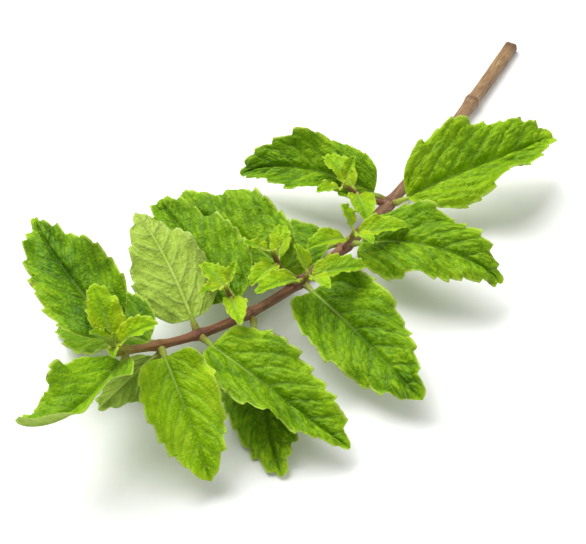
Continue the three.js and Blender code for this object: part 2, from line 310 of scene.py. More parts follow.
def vein_lines(tree, number, away):
    """How much the veins show, fading towards the margin and the tip.

    Side veins lie at the whole numbers and are about 0.5 mm wide; the midrib is about 1 mm wide.
    """
    between = add(tree, "Math", {"operation": "PINGPONG", 1: 0.5}, {0: number}).outputs[0]
    side_line = add(
        tree, "MapRange", {"interpolation_type": "SMOOTHSTEP", 1: 0.0, 2: 0.075, 3: 1.0, 4: 0.0}, {0: between}
    ).outputs[0]
    side_fade = add(tree, "MapRange", {1: 0.1, 2: 1.1, 3: 0.3, 4: 0.04}, {0: away}).outputs[0]
    side_part = add(tree, "Math", {"operation": "MULTIPLY"}, {0: side_line, 1: side_fade}).outputs[0]
    rib_line = add(
        tree, "MapRange", {"interpolation_type": "SMOOTHSTEP", 1: 0.015, 2: 0.07, 3: 1.0, 4: 0.0}, {0: away}
    ).outputs[0]
    rib_fade = add(tree, "MapRange", {1: 0.3, 2: 3.4, 3: 0.85, 4: 0.07}, {0: number}).outputs[0]
    rib_part = add(tree, "Math", {"operation": "MULTIPLY"}, {0: rib_line, 1: rib_fade}).outputs[0]
    return add(tree, "Math", {"operation": "MAXIMUM"}, {0: side_part, 1: rib_part}).outputs[0]


def flesh_colour(tree, parts, number, grown, young, base):
    """The living tissue: painted shade darkens the furrows and the creases of the vein net, the cushions are
    painted lighter, and it is lighter outward and yellow at a young foot.
    """
    broad = add(tree, "MapRange", {1: 0.3, 2: 0.7, 3: -0.2, 4: 0.3}, {0: parts["patches"]}).outputs[0]
    small = add(tree, "MapRange", {1: 0.3, 2: 0.7, 3: -0.02, 4: 0.18}, {0: parts["mottle"]}).outputs[0]
    # painted shade: darker down in the furrows, lighter up on the cushions
    painted_furrow_shade = add(tree, "MapRange", {1: 0.0, 2: 0.85, 3: 0.44, 4: -0.04}, {0: parts["groove"]}).outputs[0]
    outward = add(tree, "MapRange", {1: 0.35, 2: 1.0, 3: -0.03, 4: 0.13}, {0: parts["margin"]}).outputs[0]
    level = broad
    for share in (small, painted_furrow_shade, outward):
        level = add(tree, "Math", {"operation": "ADD"}, {0: level, 1: share}).outputs[0]
    # painted shade in the creases of the smallest veins' net, lighter in the middle of each cell
    level = add(tree, "Math", {"operation": "MULTIPLY_ADD", 1: 0.14}, {0: parts["cell"], 2: level}).outputs[0]
    # Each ramp runs from the furrow colour, which carries the painted shade of the furrows as well as the
    # darker patches, through the middle to the lighter cushion colour.
    ramps = []
    for furrow, middle, top in (grown, young):
        ramp = add(tree, "ValToRGB", links={0: level})
        ramp.color_ramp.elements[0].color = linear(furrow)
        ramp.color_ramp.elements[1].color = linear(top)
        ramp.color_ramp.elements.new(0.5).color = linear(middle)
        ramps.append(ramp.outputs[0])
    youth = add(tree, "MapRange", {1: 1.0, 2: 0.0, 3: 0.0, 4: 1.0}, {0: parts["age"]}).outputs[0]
    flesh = add(tree, "MixRGB", links={0: youth, 1: ramps[0], 2: ramps[1]}).outputs[0]
    foot = add(tree, "MapRange", {1: 0.2, 2: 2.0, 3: 0.5, 4: 0.0}, {0: number}).outputs[0]
    newest = add(tree, "MapRange", {1: 0.0, 2: 0.5, 3: 1.0, 4: 0.0}, {0: parts["age"]}).outputs[0]
    yellowed = add(tree, "Math", {"operation": "MULTIPLY"}, {0: foot, 1: newest}).outputs[0]
    return add(tree, "MixRGB", {2: linear(base)}, {0: yellowed, 1: flesh}).outputs[0]


def with_margin(tree, place, margin, flesh, edge, dried):
    """A leaf's colour with its last millimetre thin and pale, and a few tooth points dried."""
    rim = add(
        tree, "MapRange", {"interpolation_type": "SMOOTHSTEP", 1: 0.93, 2: 0.995, 3: 0.0, 4: 0.85},
        {0: margin},
    ).outputs[0]
    rimmed = add(tree, "MixRGB", {2: linear(edge)}, {0: rim, 1: flesh}).outputs[0]
    spots = add(tree, "TexNoise", {"Scale": 150.0, "Detail": 1.0}, {"Vector": place})
    spot = add(
        tree, "MapRange", {"interpolation_type": "SMOOTHSTEP", 1: 0.69, 2: 0.74, 3: 0.0, 4: 0.75},
        {0: spots.outputs["Fac"]},
    ).outputs[0]
    outer = add(tree, "MapRange", {1: 0.86, 2: 1.0, 3: 0.0, 4: 1.0}, {0: margin}).outputs[0]
    scorch = add(tree, "Math", {"operation": "MULTIPLY"}, {0: spot, 1: outer}).outputs[0]
    return add(tree, "MixRGB", {2: linear(dried)}, {0: scorch, 1: rimmed}).outputs[0]


def leaf_material(
    name, grown, young, base, vein, edge, dried, heel, roughness, gloss, relief, shine_through
):
    """A mint leaf's skin, over living tissue that some light passes through.

    grown and young hold the colours of furrow, middle and cushion, old leaf and bud leaf; the dark furrow
    colour is painted shade and the light cushion colour painted light. base is the yellow foot of a young
    blade, and heel is where the stalk meets the stem. relief is positive where the veins stand out and
    negative where they are sunk.
    """
    material, tree = new_material(name)
    place = add(tree, "TexCoord").outputs["Object"]
    veins = add(tree, "UVMap", {"uv_map": "veins"}).outputs["UV"]
    split = add(tree, "SeparateXYZ", links={0: veins})
    number, away = split.outputs["X"], split.outputs["Y"]
    parts = {
        mark: add(tree, "Attribute", {"attribute_name": mark}).outputs["Fac"] for mark in LEAF_MARKS
    }

    # Patches of 12 mm, a mottle of 2 mm and the net of the smallest veins, 1.1 mm a cell.
    patches = add(tree, "TexNoise", {"Scale": 85.0, "Detail": 2.0, "Roughness": 0.55}, {"Vector": place})
    mottle = add(tree, "TexNoise", {"Scale": 520.0, "Detail": 3.0, "Roughness": 0.6}, {"Vector": place})
    net = add(tree, "TexVoronoi", {"feature": "DISTANCE_TO_EDGE", "Scale": 900.0}, {"Vector": place})
    parts["patches"], parts["mottle"] = patches.outputs["Fac"], mottle.outputs["Fac"]
    # the net's cells shape the bump and also set painted shade in their creases
    parts["cell"] = add(
        tree, "MapRange", {"interpolation_type": "SMOOTHERSTEP", 1: 0.0, 2: 0.5, 3: 0.0, 4: 1.0},
        {0: net.outputs["Distance"]},
    ).outputs[0]

    line = vein_lines(tree, number, away)
    flesh = flesh_colour(tree, parts, number, grown, young, base)
    veined = add(tree, "MixRGB", {2: linear(vein)}, {0: line, 1: flesh}).outputs[0]
    edged = with_margin(tree, place, parts["margin"], veined, edge, dried)
    colour = add(tree, "MixRGB", {2: linear(heel)}, {0: parts["joint"], 1: edged}).outputs[0]

    grain = add(tree, "TexNoise", {"Scale": 2600.0, "Detail": 2.0}, {"Vector": place}).outputs["Fac"]
    height = add(
        tree, "Math", {"operation": "MULTIPLY_ADD", 1: 0.4}, {0: grain, 2: parts["cell"]}
    ).outputs[0]
    height = add(tree, "Math", {"operation": "MULTIPLY_ADD", 1: relief}, {0: line, 2: height}).outputs[0]
    bump = add(tree, "Bump", {"Strength": 0.8, "Distance": 0.00017}, {"Height": height}).outputs[0]
    rough = add(
        tree, "MapRange", {1: 0.3, 2: 0.7, 3: roughness - 0.06, 4: roughness + 0.08}, {0: parts["patches"]}
    ).outputs[0]

    skin = add(
        tree, "BsdfPrincipled", {"IOR": 1.4, "Specular IOR Level": gloss},
        {"Base Color": colour, "Roughness": rough, "Normal": bump},
    )
    glow = add(
        tree, "MixRGB", {"blend_type": "MULTIPLY", 0: 1.0, 2: linear("#e8ff8c")}, {1: colour}
    ).outputs[0]
    through = add(tree, "BsdfTranslucent", links={"Color": glow, "Normal": bump})
    both = add(tree, "MixShader", {0: shine_through}, {1: skin.outputs[0], 2: through.outputs[0]})
    add(tree, "OutputMaterial", links={"Surface": both.outputs[0]})
    return material


def stem_material():
    """A mint stem's skin, a thin dry-looking wax over fibres that run along it.

    It is tan and purple-brown where it is old, red-brown further up and green at the growing tip, with
    pale streaks 0.4 mm wide and 6 mm long, and darker joints.
    """
    material, tree = new_material("mint stem skin")
    place = add(tree, "TexCoord").outputs["Object"]
    straight = add(tree, "Attribute", {"attribute_name": "straight"}).outputs["Vector"]
    along = add(tree, "Attribute", {"attribute_name": "age"}).outputs["Fac"]
    ridge = add(tree, "Attribute", {"attribute_name": "ridge"}).outputs["Fac"]
    joint = add(tree, "Attribute", {"attribute_name": "joint"}).outputs["Fac"]

    drawn_out = add(tree, "Mapping", {"Scale": (2.2, 2.2, 0.16)}, {"Vector": straight}).outputs[0]
    streaks = add(tree, "TexNoise", {"Scale": 1.0, "Detail": 4.0, "Roughness": 0.65}, {"Vector": drawn_out})
    blotches = add(tree, "TexNoise", {"Scale": 190.0, "Detail": 4.0, "Roughness": 0.6}, {"Vector": place})

    ramp = add(tree, "ValToRGB", links={0: along})
    stops = (  # from the cut end, a share of the stem's length
        (0.0, "#8c6d48"), (0.15, "#826044"), (0.45, "#7b5541"), (0.7, "#784936"),
        (0.9, "#75452f"), (0.965, "#7d602a"), (0.99, "#93a01e"),
    )
    ramp.color_ramp.elements[0].color = linear(stops[0][1])
    ramp.color_ramp.elements[1].color = linear(stops[-1][1])
    ramp.color_ramp.elements[1].position = stops[-1][0]
    for position, shade in stops[1:-1]:
        ramp.color_ramp.elements.new(position).color = linear(shade)
    pale = add(
        tree, "MapRange", {1: 0.42, 2: 0.68, 3: 0.0, 4: 0.8}, {0: streaks.outputs["Fac"]}
    ).outputs[0]
    fading = add(tree, "MapRange", {1: 0.0, 2: 1.0, 3: 1.0, 4: 0.35}, {0: along}).outputs[0]
    pale = add(tree, "Math", {"operation": "MULTIPLY"}, {0: pale, 1: fading}).outputs[0]
    streaked = add(tree, "MixRGB", {2: linear("#b89f70")}, {0: pale, 1: ramp.outputs[0]}).outputs[0]
    blush = add(
        tree, "MapRange", {1: 0.5, 2: 0.68, 3: 0.0, 4: 0.55}, {0: blotches.outputs["Fac"]}
    ).outputs[0]
    blotched = add(tree, "MixRGB", {2: linear("#5d3830")}, {0: blush, 1: streaked}).outputs[0]
    corner = add(tree, "MapRange", {1: 0.4, 2: 1.0, 3: 0.0, 4: 0.35}, {0: ridge}).outputs[0]
    cornered = add(tree, "MixRGB", {2: linear("#a98b5e")}, {0: corner, 1: blotched}).outputs[0]
    ring = add(tree, "MapRange", {1: 0.2, 2: 1.0, 3: 0.0, 4: 0.65}, {0: joint}).outputs[0]
    older = add(tree, "MapRange", {1: 0.85, 2: 1.0, 3: 1.0, 4: 0.1}, {0: along}).outputs[0]
    ring = add(tree, "Math", {"operation": "MULTIPLY"}, {0: ring, 1: older}).outputs[0]
    colour = add(tree, "MixRGB", {2: linear("#4a2e22")}, {0: ring, 1: cornered}).outputs[0]

    fine = add(tree, "TexNoise", {"Scale": 1500.0, "Detail": 3.0}, {"Vector": place})
    height = add(
        tree, "Math", {"operation": "MULTIPLY_ADD", 1: 2.0},
        {0: streaks.outputs["Fac"], 2: fine.outputs["Fac"]},
    ).outputs[0]
    bump = add(tree, "Bump", {"Strength": 0.7, "Distance": 0.0002}, {"Height": height}).outputs[0]
    rough = add(
        tree, "MapRange", {1: 0.3, 2: 0.7, 3: 0.42, 4: 0.65}, {0: blotches.outputs["Fac"]}
    ).outputs[0]
    skin = add(
        tree, "BsdfPrincipled", {"IOR": 1.45, "Specular IOR Level": 0.3},
        {"Base Color": colour, "Roughness": rough, "Normal": bump},
    )
    add(tree, "OutputMaterial", links={"Surface": skin.outputs[0]})
    return material


def cut_material():
    """A mint stem's cut face, dried since the knife: a dark bruised ring round pale, spongy pith."""
    material, tree = new_material("cut mint pith")
    place = add(tree, "TexCoord").outputs["Object"]
    straight = add(tree, "Attribute", {"attribute_name": "straight"}).outputs["Vector"]
    split = add(tree, "SeparateXYZ", links={0: straight})
    flat = add(tree, "CombineXYZ", links={0: split.outputs["X"], 1: split.outputs["Y"]}).outputs[0]
    out = add(tree, "VectorMath", {"operation": "LENGTH"}, {0: flat}).outputs["Value"]
    pores = add(tree, "TexVoronoi", {"Scale": 3200.0}, {"Vector": place})
    dots = add(tree, "MapRange", {1: 0.1, 2: 0.6, 3: 0.0, 4: 1.0}, {0: pores.outputs["Distance"]}).outputs[0]
    pith = add(tree, "MixRGB", {1: linear("#cbb78e"), 2: linear("#a98e63")}, {0: dots}).outputs[0]
    bark = add(tree, "MapRange", {1: 1.1, 2: 1.7, 3: 0.0, 4: 1.0}, {0: out}).outputs[0]
    colour = add(tree, "MixRGB", {2: linear("#6b4a30")}, {0: bark, 1: pith}).outputs[0]
    bump = add(tree, "Bump", {"Strength": 0.7, "Distance": 0.0001}, {"Height": dots}).outputs[0]
    skin = add(tree, "BsdfPrincipled", {"Roughness": 0.8}, {"Base Color": colour, "Normal": bump})
    add(tree, "OutputMaterial", links={"Surface": skin.outputs[0]})
    return material


# The upper side is a moderately glossy wax over bright green; the underside is paler and matt.
upper_skin = leaf_material(
    "mint leaf upper skin",
    # the first colour of grown and of young is the painted shade in the furrows, the last the painted lighter
    # cushions
    grown=("#31620a", "#719f12", "#a6c920"), young=("#7fae0a", "#a6d014", "#c8e238"),
    base="#c3c91c", vein="#b4cf5c", edge="#c0dc54", dried="#7d6a2c", heel="#80603a",
    roughness=0.4, gloss=0.17, relief=-0.8, shine_through=0.2,
)
under_skin = leaf_material(
    "mint leaf underside",
    # the first colour of grown and of young is the painted shade in the furrows, the last the painted lighter
    # cushions
    grown=("#809f3c", "#a8c454", "#c4d878"), young=("#98b62e", "#b4ce44", "#cde06a"),
    base="#cfd262", vein="#cddb9c", edge="#bcd277", dried="#8d7a3c", heel="#80603a",
    roughness=0.62, gloss=0.1, relief=2.0, shine_through=0.2,
)
stem_skin = stem_material()
cut_face = cut_material()

# ---------------------------------------------------------------- making the pieces

SLIVER = 0.002  # edges shorter than this are closed up


def finish_piece(bm, replaced, materials):
    """Turns a bmesh in millimetres into a smooth piece in metres that stands for a node."""
    name = replaced + "_skin"
    bmesh.ops.dissolve_degenerate(bm, dist=SLIVER, edges=bm.edges)
    bmesh.ops.scale(bm, vec=(MM, MM, MM), verts=bm.verts)
    mesh = bpy.data.meshes.new(name)
    bm.to_mesh(mesh)
    bm.free()
    mesh.shade_smooth()
    for material in materials:
        mesh.materials.append(material)
    piece = bpy.data.objects.new(name, mesh)
    bpy.context.collection.objects.link(piece)
    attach(piece, "root")
    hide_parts(replaced)


def outline(v, tip):
    """Share of the full half width at v, from 0 at the blade's base to 1 at its tip."""
    widest = BASE_FULLNESS / (BASE_FULLNESS + tip)
    top = widest**BASE_FULLNESS * (1 - widest) ** tip
    return v**BASE_FULLNESS * (1 - v) ** tip / top


def lay_down(z, floor):
    """A height that eases to the floor and never goes below it."""
    over = z - floor
    return floor + (over + math.sqrt(over * over + TABLE_SOFTNESS**2)) / 2


def smooth_step(low, high, x):
    """Rises from 0 at low to 1 at high."""
    t = min(max((x - low) / (high - low), 0), 1)
    return t * t * (3 - 2 * t)


def bell(x, width):
    """1 at 0, falling away on both sides."""
    return math.exp(-((x / width) ** 2))


SIDE_VEINS = 6.5
BUD_SIDE_VEINS = 4.5
VEIN_LEAN = 0.9  # how far a side vein runs forward for each millimetre outward, at the midrib
VEIN_ARCH = 0.9  # how much more it does so towards the margin
CUSHION = 1.8  # width of the cushions between the smaller veins
FULL_LENGTH = 46  # a leaf of this length has relief and teeth of full size
RUFFLE = 2.7  # how far the margin's noise rises
BUCKLE = 2.6  # how far the broad noise over the blade does
RIM_ROLL = 7  # how far the rim turns up or down
GUTTER = 0.5  # how deep the midrib lies
TOOTH_SPACING = 5.2
TOOTHED_SHARE = 0.9  # of the blade's length
FEWEST_TEETH = 5  # on one side of a blade
TOOTH_HEIGHTS = (0.45, 0.7, 0.85, 1, 1.1)
TOOTH_HOLLOWS = (0.6, 0.8, 1.2)  # exponents of the rise: below 1 it bulges, above 1 it is hollow
TOOTH_POINT = 0.78  # where the point is, a share of the way to the next notch
TOOTH_FALL = 0.22  # the rest of that way
TOOTH_DEPTH = 1.8
TOOTH_SPREAD = 0.75  # of its depth, outward
TOOTH_LEAN = 1.1  # towards the tip
BLADE_STEPS = 240
BLADE_GRID = (164, 62)  # along and across
SMALL_BLADE_GRID = (74, 28)
BLADE_THICKNESS = 0.26
TABLE_GAP = 0.05
VEIN_RIDGE = 0.22
STALK_STEPS = 56
STALK_SIDES = 12
RIB_END = 0.95  # where the midrib runs out, a share of the leaf with its stalk
WING_SHARE = 0.45  # how far the blade runs down the stalk as a narrow wing
HEEL_FLARE = 1.5  # how much wider a stalk is where it clasps the stem
HEEL_LENGTH = 2.1
HEEL_BROWNING = 0.75


class Blade:
    """The shape of one leaf's blade and stalk in the sprig's frame."""

    def __init__(self, leaf, course):
        self.leaf = leaf
        self.way = course.heading(leaf.at / course.length) + math.radians(leaf.heading)
        self.foot = course.sprout(leaf.at, self.way, math.radians(leaf.pitch), leaf.stalk_radius)
        self.joint = course.point(leaf.at)
        self.stem_radius = course.radius(leaf.at)
        self.stalk = leaf.length * STALK_SHARE
        self.total = self.stalk + leaf.length
        distances = [self.total * i / BLADE_STEPS for i in range(BLADE_STEPS + 1)]
        self.points = [self.foot + p for p in grow(distances, self.heading, self.pitch)]
        self.vein_count = BUD_SIDE_VEINS if leaf.small else SIDE_VEINS
        self.size = leaf.length / FULL_LENGTH
        self.random = random.Random(leaf.name)
        self.noise_start = Vector([self.random.uniform(0, 90) for _ in range(3)])
        self.teeth = [self.lay_teeth() for _ in range(2)]

    def lay_teeth(self):
        """The margin's teeth as v of the notch before, v of the next, height and how hollow they rise."""
        even = TOOTHED_SHARE / max(FEWEST_TEETH, round(self.leaf.length / TOOTH_SPACING))
        v = self.random.uniform(0.06, 0.12)
        teeth = []
        while v < 1:
            step = even * self.random.uniform(0.65, 1.3)
            height = self.random.choice(TOOTH_HEIGHTS)
            hollow = self.random.choice(TOOTH_HOLLOWS)
            teeth.append((v, v + step, height, hollow))
            v += step
        return teeth

    def tooth(self, v, left):
        """The rise of the margin at v, 0 in a notch and a tooth's height at its point."""
        for start, end, height, hollow in self.teeth[left]:
            if start <= v < end:
                part = (v - start) / (end - start)
                if part < TOOTH_POINT:
                    return height * (part / TOOTH_POINT) ** hollow
                return height * ((1 - part) / TOOTH_FALL) ** 0.8
        return 0

    def heading(self, t):
        """The midrib's heading at t, from 0 at the stalk's foot to 1 at the tip."""
        return self.way + math.radians(self.leaf.sway * t**self.leaf.late)

    def pitch(self, t):
        """The midrib's pitch at t."""
        droop = self.leaf.bend * t**DROOP_EXPONENT + self.leaf.hook * t**HOOK_EXPONENT
        return math.radians(self.leaf.pitch - droop)

    def rib(self, distance):
        """Point, along, side and up at a distance from the stalk's foot."""
        t = distance / self.total
        place = t * BLADE_STEPS
        i = min(int(place), BLADE_STEPS - 1)
        point = self.points[i].lerp(self.points[i + 1], place - i)
        roll = math.radians(self.leaf.roll + self.leaf.twist * t)
        side, up = cross_axes(self.heading(t), self.pitch(t), roll)
        return point, direction(self.heading(t), self.pitch(t)), side, up

    def half_width(self, v):
        """Half the blade's width without its teeth; below 0 it is the wing on the stalk."""
        wing = self.leaf.stalk_radius * 0.7 * min(1, 0.3 + 2 * self.size)
        if v <= 0:
            return wing
        return max(self.leaf.width * outline(v, self.leaf.tip) / 2 * (1 - 0.06 * self.size), wing * (1 - v))

    def quilt(self, number, across, u, left):
        """Height and furrow depth of the panels between the side veins and of the cushions in them."""
        place = Vector((number * 3.0, across / CUSHION + 9 * left, 0)) + self.noise_start
        place += noise.noise_vector(place * 1.1) * 0.38
        near, far = noise.voronoi(place)[0][:2]
        dome = math.sqrt(min((far - near) / 0.55, 1))
        part = abs(number - round(number))
        panel = math.sin(math.pi * min(part, 0.5))
        inner = smooth_step(0.03, 0.15, u) * smooth_step(1.0, 0.8, u)
        swell = 0.75 + 0.5 * noise.noise(Vector((round(number - 0.5) * 3.1, 7 * left, 2)) + self.noise_start)
        height = 0.7 * swell * panel * inner + 0.54 * dome * smooth_step(0.02, 0.14, u)
        furrow = max(0.75 * (1 - dome), bell(part, 0.07))
        depth = self.leaf.crinkle
        sunk = 0.25 * bell(part, 0.06) * (1 - u) * smooth_step(0.03, 0.12, u)
        return depth * (height - sunk), min(furrow * (0.5 + 0.5 * depth), 1)

    def surface(self, v, u):
        """The blade's upper skin at v and u: point, up, furrow depth, vein number and distance across."""
        leaf, size, left = self.leaf, self.size, int(u > 0)
        reach = abs(u)
        point, along, side, up = self.rib(self.stalk + leaf.length * v)
        half = self.half_width(v)
        lively = smooth_step(0, 0.06, v) * smooth_step(1.0, 0.9, v)
        toothed = smooth_step(0.03, 0.1, v) * smooth_step(1.02, 0.96, v) * reach**8
        tooth = self.tooth(v, left) * toothed * min(size, 1) ** 0.7
        across = reach * half + tooth * TOOTH_DEPTH * TOOTH_SPREAD
        rise = math.radians(leaf.fold + leaf.curl * reach)
        phase = LEFT_RIPPLE_PHASE if left else 0
        wave = leaf.ripple * u * u * math.sin(2 * math.pi * (RIPPLES * v + phase)) * 4 * v * (1 - v)

        forward = VEIN_LEAN * across * (1 + VEIN_ARCH * across / (leaf.width / 2))
        number = max(self.vein_count * (v - forward / leaf.length) + 0.3, -0.4)
        waver = noise.noise(Vector((v * 16, across * 0.5, 3 + left)) + self.noise_start)
        quilting, furrow = self.quilt(number + 0.22 * waver * reach, across, reach, left)
        ruffle = noise.noise(Vector((v * 9, 3 * left, 0)) + self.noise_start) * reach**3 * RUFFLE
        buckle = noise.noise(Vector((v * 4, u * 1.6, 5)) + self.noise_start) * BUCKLE * reach
        turn = noise.noise(Vector((v * 2.6, 11 * left, 9)) + self.noise_start)
        # The outer 0.4 of the half blade rolls, most in the widest leaves; 0.16 is 0.4 squared.
        rim_roll = RIM_ROLL * turn * max(0, reach - 0.6) ** 2 / 0.16 * half / 12
        gutter = -GUTTER * bell(across, 0.6)
        relief = size * lively * (quilting + ruffle + buckle + rim_roll) + min(size, 1) * gutter
        point = (
            point
            + side * (math.copysign(across, u) * math.cos(rise))
            + up * (across * math.sin(rise) + wave + relief)
            + along * (TOOTH_LEAN * tooth)
        )
        groove = max(furrow, bell(across, 0.5)) * lively
        return point, up, groove, number, across

    def thickness(self, u, groove):
        """Thinner to the margin, and thicker under the veins, which stand out below."""
        body = BLADE_THICKNESS * (1 - 0.5 * abs(u) ** 3)
        return body + VEIN_RIDGE * groove * (1 - abs(u)) * min(1, self.size)


def make_leaves(leaves, course):
    """A piece of one or more leaves, each of an upper and an under skin joined at the rim, and its stalk."""
    bm = bmesh.new()
    marks = [bm.verts.layers.float.new(mark) for mark in LEAF_MARKS]
    veins = bm.loops.layers.uv.new("veins")
    for leaf in leaves:
        add_blade(bm, Blade(leaf, course), marks, veins)
    finish_piece(bm, leaves[0].name, [upper_skin, under_skin])


def once_each(parts):
    """The parts without repeats, in their own order, so that each run makes the same mesh."""
    return list(dict.fromkeys(parts))


def add_blade(bm, blade, marks, veins):
    """A leaf's two skins, its rim and its stalk."""
    leaf = blade.leaf
    rows, columns = SMALL_BLADE_GRID if leaf.small else BLADE_GRID
    grid = bmesh.ops.create_grid(bm, x_segments=rows, y_segments=columns, size=1)["verts"]
    edges = once_each(edge for vert in grid for edge in vert.link_edges)
    faces = once_each(face for vert in grid for face in vert.link_faces)
    twin = bmesh.ops.duplicate(bm, geom=grid + edges + faces)["geom"]
    lower = {part for part in twin if isinstance(part, bmesh.types.BMVert)}
    lower_faces = [part for part in twin if isinstance(part, bmesh.types.BMFace)]
    bmesh.ops.reverse_faces(bm, faces=lower_faces)
    for face in lower_faces:
        face.material_index = 1
    edges += [part for part in twin if isinstance(part, bmesh.types.BMEdge)]
    first_v = -STALK_SHARE * WING_SHARE
    places = {}
    for vert in grid + list(lower):
        v, u = first_v + (1 - first_v) * (vert.co.x + 1) / 2, vert.co.y
        point, up, groove, number, across = blade.surface(v, u)
        for mark, value in zip(marks, (leaf.age, groove, abs(u), 0)):
            vert[mark] = value
        places[vert] = (number, across / 10)
        if vert in lower:
            point -= up * blade.thickness(u, groove)
            point.z = lay_down(point.z, TABLE_GAP)
        else:
            point.z = lay_down(point.z, TABLE_GAP + BLADE_THICKNESS * abs(up.z))
        vert.co = point
    bmesh.ops.bridge_loops(bm, edges=[edge for edge in edges if edge.is_boundary])
    tube = add_stalk(bm, blade, marks)
    for vert in places:
        for loop in vert.link_loops:
            loop[veins].uv = places[vert]
    for vert in tube:
        for loop in vert.link_loops:
            loop[veins].uv = (0.5, 1)


def add_ring(bm, centre, side, up, radius, sides, squareness=2.0):
    """A ring of a tube, round or squared, and its vertices in order."""
    ring = bmesh.ops.create_circle(bm, segments=sides, radius=1)["verts"]
    for vert in ring:
        x, y = vert.co.x, vert.co.y
        reach = radius * (abs(x) ** squareness + abs(y) ** squareness) ** (-1 / squareness)
        vert.co = centre + side * (x * reach) + up * (y * reach)
    return ring


def ring_edges(ring):
    """The edges that join a ring's own vertices."""
    members = set(ring)
    edges = once_each(edge for vert in ring for edge in vert.link_edges)
    return [edge for edge in edges if all(vert in members for vert in edge.verts)]


def add_tube(bm, stations, sides, marks):
    """A closed round tube through stations of centre, side, up, radius and the values of the marks."""
    first = last = None
    tube = []
    for centre, side, up, radius, values in stations:
        ring = add_ring(bm, centre, side, up, radius, sides)
        tube += ring
        for vert in ring:
            for layer, value in zip(marks, values):
                vert[layer] = value
        if last is None:
            first = ring
        else:
            walls = bmesh.ops.bridge_loops(bm, edges=ring_edges(last) + ring_edges(ring))["faces"]
            for face in walls:
                face.material_index = 1
        last = ring
    for ring in (first, last):
        for face in bmesh.ops.contextual_create(bm, geom=ring_edges(ring))["faces"]:
            face.material_index = 1
    return tube


def add_stalk(bm, blade, marks):
    """The stalk from inside the stem's skin, which runs on under the blade as its midrib."""
    leaf = blade.leaf
    _, _, side, up = blade.rib(0)
    stout = leaf.stalk_radius * min(1, 0.3 + 2 * blade.size)
    heel = min(stout * HEEL_FLARE, blade.stem_radius * 0.9)
    browned = HEEL_BROWNING * min(1, 1.4 * leaf.age)
    stations = [
        (blade.joint.lerp(blade.foot, share), side, up, heel * width, (leaf.age, 0, 0.5, browned))
        for share, width in ((0.35, 0.7), (0.74, 1))
    ]
    for i in range(STALK_STEPS + 1):
        distance = blade.total * RIB_END * i / STALK_STEPS
        point, _, side, up = blade.rib(distance)
        under = smooth_step(blade.stalk * 0.5, blade.stalk * 1.6, distance)
        taper = (0.88 - 0.24 * under) * (1 - distance / blade.total) ** 0.9
        radius = stout * (taper + 0.36 * bell(distance, HEEL_LENGTH * min(1, 1.6 * blade.size))) + 0.08
        centre = point - up * under * (0.95 * radius + 0.62 * min(blade.size, 1))
        centre.z = max(centre.z, radius + 0.03)
        brown = browned * bell(distance, HEEL_LENGTH)
        stations.append((centre, side, up, radius, (leaf.age, 0, 0.5, brown)))
    return add_tube(bm, stations, STALK_SIDES, marks)


# From the middle of the cut outward, how deep the dried pith has sunk and the share of the radius.
CUT_FACE = [(0.3, 0.2), (0.27, 0.45), (0.2, 0.66), (0.06, 0.82)]
# From the cut edge inward over its rounding: distance from the start and share of the radius.
CUT_EDGE = [(0, 0.94), (0.2, 0.99), (0.45, 1)]
TIP_TURNS = (0, 0.35, 0.7, 1, 1.25, 1.45)  # round the tip, in radians
BRUISE = 1.2  # how dark the skin has gone round the cut
BRUISE_LENGTH = 4.5
SCAR_HEIGHT = 0.22  # of the radius
SCAR_SIZE = 0.9
SIDE_FURROW = 0.07  # of the radius, along the middle of each side
UNEVENNESS = 0.035  # of the radius
TIP_SLIMMING = 0.3  # of the main stem's radius, over its last few millimetres
TIP_SLIMMING_LENGTH = 6


def stem_distances(course, start):
    """The rings of a stem from the middle of its cut to its rounded tip: distance and share of the radius."""
    tip = course.radius(course.length)
    dome = [(course.length - tip * (1 - math.sin(turn)), math.cos(turn)) for turn in TIP_TURNS]
    even = [course.length * i / course.steps for i in range(1, course.steps)]
    body = [(distance, 1) for distance in even if 0.6 < distance < dome[0][0] - 0.1]
    cut = [(start + inward, share) for inward, share in CUT_FACE + CUT_EDGE]
    return cut + body + dome


def leaf_scars(distance, x, y):
    """How far the two scars at each leafless joint rise, on sides that cross from joint to joint."""
    return sum(
        SCAR_HEIGHT * bell(distance - at - SCAR_SIZE, SCAR_SIZE) * bell((x, y)[i % 2], 0.45)
        for i, at in enumerate(BARE_NODES)
    )


